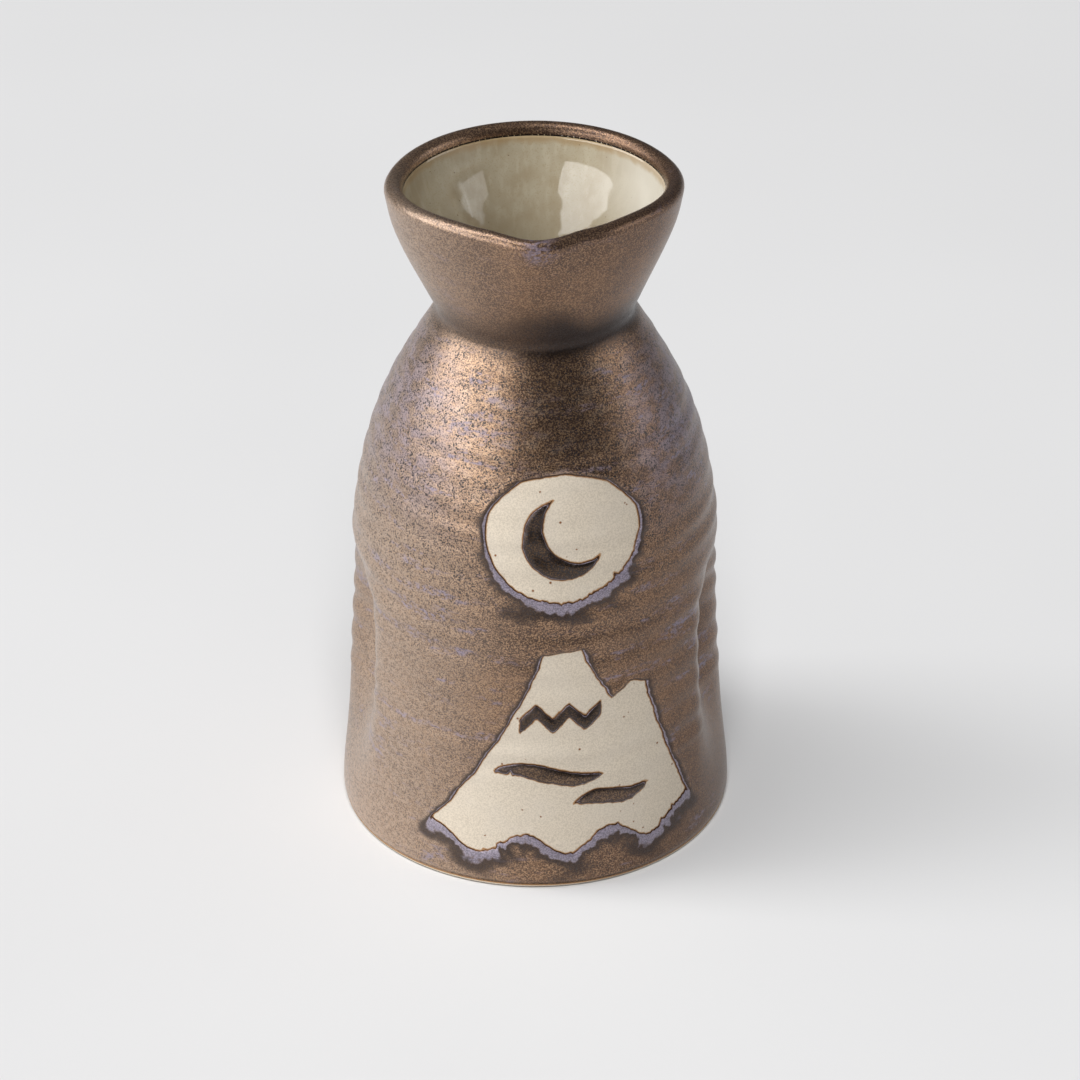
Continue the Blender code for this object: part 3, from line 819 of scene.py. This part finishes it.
class LustreGraph(Graph):
    """What a bronze lustre glaze is made of: its noises, and where on the bottle it changes."""

    def __init__(self, name):
        super().__init__(name)
        self.mottle = self.noise(2.8, 3.0, (0.8, 0.8, 1.3), 0.6)
        self.grain = self.noise(0.33, 2.0, (1.0, 1.0, 1.2), 0.7)
        self.patch = self.noise(1.1, 2.0, (1.0, 1.0, 1.7))
        self.height, self.across, self.back = self.along("Z"), self.along("X"), self.along("Y")
        self.sideways = self.math("ABSOLUTE", self.across)
        height = self.height
        self.shoulder = self.both(self.smooth(height, 70.0, 92.0), self.smooth(height, 112.0, 106.0))
        self.lively = self.both(
            self.smooth(height, 45.0, 82.0, 0.62, 1.0), self.smooth(height, 108.0, 114.0, 1.0, 0.5),
        )

    def ground(self, body, deep_and_shade, grain_colour, pale_and_light):
        """Clouds under a copper grain, with painted light on the front left, painted shade on the right and
        a painted dark reflection low in the middle of the cup.
        """
        colour = self.mix(self.smooth(self.noise(14.0, 3.0), 0.38, 0.66), body, deep_and_shade)
        grainy = self.both(self.smooth(self.grain, 0.47, 0.61), self.smooth(self.lively, 0.0, 1.0, 0.5, 1.0))
        colour = self.mix(grainy, colour, grain_colour)
        frosted = self.both(self.smooth(self.mottle, 0.48, 0.70, 0.0, 0.32), self.shoulder)
        colour = self.mix(frosted, colour, pale_and_light)
        colour = self.mix(self.smooth(self.mottle, 0.46, 0.30, 0.0, 0.4), colour, deep_and_shade)
        # Painted light: paler on the front left, fading towards the back and on the shoulder.
        left_painted_light = self.smooth(self.across, 0.0, -36.0, 0.0, 0.82)
        left_painted_light = self.both(left_painted_light, self.smooth(self.back, 16.0, -8.0, 0.3, 1.0))
        left_painted_light = self.both(left_painted_light, self.smooth(self.patch, 0.34, 0.62, 0.72, 1.1))
        left_painted_light = self.both(left_painted_light, self.math("SUBTRACT", 1.0, self.both(self.shoulder, 0.30)))
        colour = self.mix(left_painted_light, colour, pale_and_light)
        # Painted shade: darker towards the right.
        colour = self.mix(self.smooth(self.across, -2.0, 34.0, 0.0, 0.62), colour, deep_and_shade)
        # Painted dark reflection low in the middle of the cup.
        cup = self.smooth(self.height, 112.0, 118.0, 0.0, 0.15)
        cup = self.both(cup, self.smooth(self.sideways, 27.0, 14.0))
        return self.mix(cup, colour, deep_and_shade)

    def lilac(self, share):
        """Lilac breaks in the grooves and on the flanks of the shoulder, and a drip under the spout."""
        streak = self.noise(4.2, 3.0, (0.45, 0.45, 2.2), 0.6)
        damp = self.math("ADD", streak, self.both(self.field("groove"), 0.20))
        damp = self.math("ADD", damp, self.both(self.shoulder, 0.06))
        breaks = self.both(self.smooth(damp, 0.56, 0.73), self.smooth(self.patch, 0.36, 0.62))
        breaks = self.both(breaks, self.smooth(self.height, 116.0, 110.0, 0.3 * share, share))
        breaks = self.both(breaks, self.smooth(self.sideways, 3.0, 15.0, 0.3, 1.0))
        flank = self.smooth(self.sideways, 12.0, 26.0)
        flank = self.both(flank, self.smooth(self.mottle, 0.38, 0.62, 0.15, 0.75))
        flank = self.both(flank, self.both(self.shoulder, share))
        off_tip = self.math("ABSOLUTE", self.math("ADD", self.across, 1.1))
        drip = self.both(self.smooth(off_tip, 5.0, 0.5), self.smooth(self.back, -8.0, -14.0))
        run = self.both(self.smooth(self.height, 133.0, 136.5), self.smooth(self.height, 140.0, 138.5))
        drip = self.both(self.both(drip, run), self.smooth(self.patch, 0.36, 0.62, 0.0, 0.85 * share))
        return self.either(self.either(breaks, flank), drip)

    def pits(self):
        """Black pits: crowded where the glaze flowed, the finest in the grain, and a few alone."""
        flow = self.noise(2.6, 2.0, (1.0, 1.0, 0.6))
        crowded = self.both(self.smooth(self.spots(0.55), 0.42, 0.28), self.smooth(flow, 0.34, 0.50))
        crowded = self.both(crowded, self.smooth(self.patch, 0.66, 0.46))
        finest = self.smooth(self.grain, 0.44, 0.36)
        alone = self.smooth(self.spots(1.0), 0.15, 0.09, 0.0, 0.8)
        return self.either(self.both(self.either(crowded, finest), self.lively), alone)

    def painted_crease_shade(self):
        """Painted shade in the crease under the cup, deeper on the right, and drawn up in the middle below
        the spout as a painted dark reflection.
        """
        level = self.math("SUBTRACT", self.height, self.smooth(self.sideways, 10.0, 3.0, 0.0, 3.5))
        crease = self.both(self.smooth(self.height, 109.0, 112.0), self.smooth(level, 122.0, 113.5))
        return self.both(crease, self.smooth(self.across, -14.0, 6.0, 0.50, 0.95))

    def edged(self, colour):
        """The colour with its bands along the bare clay, from outside in: brown, ash and a rusty rim, and
        with a black line where it meets the liner. Also returns the ash's share."""
        edge = self.field("edge")
        uneven = self.uneven(1.3, 3.0, 0.8)
        band = self.math("ADD", self.field("halo"), uneven)
        brown = self.both(self.smooth(band, 0.7, 1.2), self.smooth(band, 3.8, 1.5))
        colour = self.mix(self.both(brown, 0.85), colour, HALO_BROWN)
        ashen = self.both(self.smooth(band, 1.2, 0.8), self.smooth(edge, -0.10, -0.22))
        ash = self.mix(self.smooth(self.grain, 0.42, 0.58), ASH_DEEP, ASH_PALE)
        colour = self.mix(self.both(ashen, 0.9), colour, ash)
        rim = self.smooth(self.math("ADD", edge, self.both(uneven, 0.15)), -0.24, -0.08)
        colour = self.mix(rim, colour, RIM_RUST)
        return self.mix(self.smooth(self.field("to_end"), 0.42, 0.16), colour, LINE_BLACK), ashen


def lustre_glaze(name, body, deep_and_shade, grain_colour, pale_and_light, lilac_share):
    """Metallic glaze, duller and rougher in its pits, lilac breaks and ashen bands."""
    g = LustreGraph(name)
    lilac, pits = g.lilac(lilac_share), g.pits()
    colour = g.mix(lilac, g.ground(body, deep_and_shade, grain_colour, pale_and_light), LILAC)
    colour = g.mix(pits, colour, PIT_BLACK)
    # Painted shade in the crease under the cup.
    colour = g.mix(g.painted_crease_shade(), colour, CREASE_SHADE_BROWN)
    colour, ashen = g.edged(colour)
    dull = g.either(g.either(pits, ashen), lilac)
    metal = g.smooth(dull, 1.0, 0.0, 0.1, 0.9)
    rough = g.math("ADD", g.smooth(g.grain, 0.40, 0.60, 0.25, 0.40), g.both(dull, 0.1))
    relief = g.bump(g.grain, 0.05, 1.0)
    relief = g.bump(g.patch, 0.10, 0.4, relief)
    return g.finish(
        Base_Color=colour, Metallic=metal, Roughness=rough, Normal=relief,
        Coat_Weight=0.2, Coat_Roughness=0.4,
    )


def bare_clay():
    """Bare stoneware: warm cream, finely mottled, with iron specks and a toasted line along the glaze."""
    g = Graph("bare_stoneware")
    mottle = g.noise(0.30, 2.0)
    colour = g.mix(g.smooth(mottle, 0.35, 0.62), CLAY_DEEP, CLAY_PALE)
    colour = g.mix(g.smooth(g.noise(9.0, 2.0), 0.4, 0.65, 0.0, 0.25), colour, CLAY_CLOUD)
    speck = g.both(g.smooth(g.spots(2.6), 0.13, 0.06), g.smooth(g.noise(3.1, 0.0), 0.57, 0.61))
    colour = g.mix(speck, colour, CLAY_SPECK)
    fleck = g.both(g.smooth(g.spots(0.8), 0.16, 0.08), g.smooth(g.noise(2.0, 1.0), 0.5, 0.6))
    colour = g.mix(g.both(fleck, 0.4), colour, CLAY_FLECK)
    toast = g.smooth(g.math("ADD", g.field("edge"), g.uneven(0.8, 2.0, 0.25)), 0.30, 0.06, 0.0, 0.9)
    colour = g.mix(toast, colour, CLAY_TOAST)
    relief = g.bump(mottle, 0.03, 0.35)
    return g.finish(Base_Color=colour, Roughness=0.72, Normal=relief, Specular_IOR_Level=0.35)


def cream_glaze():
    """Glossy cream liner, a little streaked by the pour, with painted light on the right and painted shade
    low in the cup, browned just under the lip.
    """
    g = Graph("cream_liner_glaze")
    streak = g.noise(1.6, 2.0, (1.0, 1.0, 0.12))
    colour = g.mix(g.smooth(g.noise(7.0, 2.0), 0.35, 0.65), CREAM_DEEP, CREAM_PALE)
    colour = g.mix(g.smooth(streak, 0.45, 0.7, 0.0, 0.3), colour, CREAM_STREAK)
    colour = g.mix(g.smooth(g.noise(0.35, 2.0), 0.44, 0.36, 0.0, 0.45), colour, CREAM_FLECK)
    speck = g.both(g.smooth(g.spots(1.7), 0.10, 0.05), g.smooth(g.noise(2.4, 0.0), 0.55, 0.6))
    colour = g.mix(g.both(speck, 0.8), colour, CREAM_SPECK)
    # Painted light: paler on the right, where the lamp shines in.
    colour = g.mix(g.smooth(g.along("X"), 11.0, 24.0, 0.0, 0.85), colour, CREAM_SUNLIT)
    # Painted shade: darker low in the cup.
    colour = g.mix(g.smooth(g.along("Z"), 126.0, 117.0, 0.0, 0.5), colour, CREAM_LOW_SHADE)
    under_lip = g.smooth(g.math("ADD", g.field("to_top"), g.uneven(2.2, 2.0, 1.5)), 1.5, 0.2, 0.0, 0.55)
    colour = g.mix(under_lip, colour, CREAM_BROWNED)
    relief = g.bump(g.noise(2.2, 1.0), 0.05, 0.25)
    return g.finish(Base_Color=colour, Roughness=0.06, Normal=relief, IOR=CREAM_INDEX)


def pale_table():
    """A matte, faintly clouded white."""
    g = Graph("pale_table")
    tint = g.mix(g.smooth(g.noise(180.0, 2.0), 0.3, 0.7), TABLE_DEEP, TABLE_PALE)
    return g.finish(Base_Color=tint, Roughness=0.8, Specular_IOR_Level=0.1)


# ---------------------------------------------------------------- studio

def turned_sheet(name, profile, look):
    """A round sheet turned around the axis from (radius, level) points, as part of the stage."""
    verts, faces = [], []
    for radius, level in profile:
        for turn in np.linspace(0.0, 2.0 * math.pi, SHEET_SEGMENTS, endpoint=False):
            verts.append((radius * math.cos(turn), radius * math.sin(turn), TABLE + level))
    for row in range(len(profile) - 1):
        for column in range(SHEET_SEGMENTS):
            after = (column + 1) % SHEET_SEGMENTS
            here, there = row * SHEET_SEGMENTS, (row + 1) * SHEET_SEGMENTS
            faces.append((here + column, there + column, there + after, here + after))
    data = bpy.data.meshes.new(name)
    data.from_pydata(verts, [], faces)
    data.shade_smooth()
    data.materials.append(look)
    sheet = bpy.data.objects.new(name, data)
    bpy.context.scene.collection.objects.link(sheet)
    TABLE_SHEETS.append(sheet)
    return sheet


def build_table(look):
    """A round table, and a backdrop beyond it that only the camera sees."""
    turned_sheet("table", [(radius, 0.0) for radius in TABLE_RINGS], look)
    sweep = []
    for turn in np.linspace(0.0, 0.5 * math.pi, 12):
        rise = 0.001 + SWEEP_RADIUS - SWEEP_RADIUS * math.cos(turn)
        sweep.append((SWEEP_START + SWEEP_RADIUS * math.sin(turn), rise))
    backdrop = turned_sheet("backdrop", sweep + [(SWEEP_START + SWEEP_RADIUS, BACKDROP_TOP)], look)
    backdrop.visible_diffuse = False
    backdrop.visible_glossy = False
    backdrop.visible_shadow = False


def toward(azimuth, elevation):
    """The direction from the bottle to a place in the studio, from angles in degrees."""
    turn, rise = math.radians(azimuth) + CAMERA_AZIMUTH, math.radians(elevation)
    return mathutils.Vector((
        math.sin(turn) * math.cos(rise), -math.cos(turn) * math.cos(rise), math.sin(rise),
    ))


def area_light(name, azimuth, elevation, distance, size, power):
    """A soft box that faces the bottle."""
    data = bpy.data.lights.new(name, "AREA")
    data.shape = "RECTANGLE"
    data.size, data.size_y = size
    data.energy = power
    lamp = bpy.data.objects.new(name, data)
    direction = toward(azimuth, elevation)
    lamp.location = mathutils.Vector((0.0, 0.0, TABLE + LAMP_AIM)) + distance * direction
    lamp.rotation_euler = (-direction).to_track_quat("-Z", "Y").to_euler()
    bpy.context.scene.collection.objects.link(lamp)
    return lamp


def only_for(objects, *lamps):
    """Lets lamps shine on some objects and leave the others alone."""
    receivers = bpy.data.collections.new("lit by " + lamps[0].name)
    for piece in objects:
        receivers.objects.link(piece)
    for lamp in lamps:
        lamp.light_linking.receiver_collection = receivers


def cone(tree, azimuth, elevation, inner, outer):
    """A factor that is 1 inside a cone around a direction and fades to 0 at a wider one."""
    view = tree.nodes.new("ShaderNodeTexCoord").outputs["Generated"]
    along = tree.nodes.new("ShaderNodeVectorMath")
    along.operation = "DOT_PRODUCT"
    along.inputs[1].default_value = toward(azimuth, elevation)
    tree.links.new(view, along.inputs[0])
    shade = tree.nodes.new("ShaderNodeMapRange")
    shade.interpolation_type = "SMOOTHSTEP"
    tree.links.new(along.outputs["Value"], shade.inputs["Value"])
    shade.inputs["From Min"].default_value = math.cos(math.radians(outer))
    shade.inputs["From Max"].default_value = math.cos(math.radians(inner))
    return shade.outputs["Result"]


def build_world():
    """Dim studio walls, darkest behind the camera."""
    world = bpy.data.worlds.new("studio")
    bpy.context.scene.world = world
    world.use_nodes = True
    tree = world.node_tree
    level = tree.nodes.new("ShaderNodeMix")
    level.data_type = "FLOAT"
    tree.links.new(cone(tree, *DARK_WALL), level.inputs[0])
    level.inputs[2].default_value = WALL_LEVEL
    level.inputs[3].default_value = DARK_WALL_LEVEL
    background = tree.nodes["Background"]
    background.inputs["Color"].default_value = (1.0, 1.0, 1.0, 1.0)
    tree.links.new(level.outputs[0], background.inputs["Strength"])


def build_light():
    """One lamp for all, one for the table alone, three for the bottle and a small one for the liner."""
    build_world()
    only_for(TABLE_SHEETS, area_light("top", *TOP_LAMP))
    area_light("left", *LEFT_LAMP)
    panel, fill = area_light("panel", *PANEL_LAMP), area_light("fill", *FILL_LAMP)
    soft = area_light("soft", *SOFT_LAMP)
    soft.visible_glossy = False
    only_for(BOTTLE, panel, fill, soft)
    only_for([piece for piece in BOTTLE if piece.name == "cream_liner"], area_light("glint", *GLINT_LAMP))


def build_camera():
    """A long lens, a little left of the spout, looking down."""
    view = bpy.data.cameras.new("camera")
    view.sensor_width = SENSOR_WIDTH
    view.lens = LENS
    view.clip_end = CLIP_END
    camera = bpy.data.objects.new("camera", view)
    back, side = CAMERA_DISTANCE * MM, CAMERA_SIDESTEP * MM
    camera.location = (
        math.sin(CAMERA_AZIMUTH) * back + math.cos(CAMERA_AZIMUTH) * side,
        -math.cos(CAMERA_AZIMUTH) * back + math.sin(CAMERA_AZIMUTH) * side,
        TABLE + CAMERA_HEIGHT * MM,
    )
    camera.rotation_euler = (0.5 * math.pi - CAMERA_PITCH, 0.0, CAMERA_AZIMUTH)
    bpy.context.scene.collection.objects.link(camera)
    bpy.context.scene.camera = camera
    bpy.context.scene.view_settings.view_transform = "Standard"


bronze = lustre_glaze("bronze_lustre", *BRONZE_TONES)
dark = lustre_glaze("dark_lustre", *DARK_TONES)
umber = lustre_glaze("umber_lustre", *UMBER_TONES)
build_clay(bare_clay())
build_outer_coat(bronze, dark, umber)
build_inner_coat(cream_glaze())
build_table(pale_table())
build_light()
build_camera()
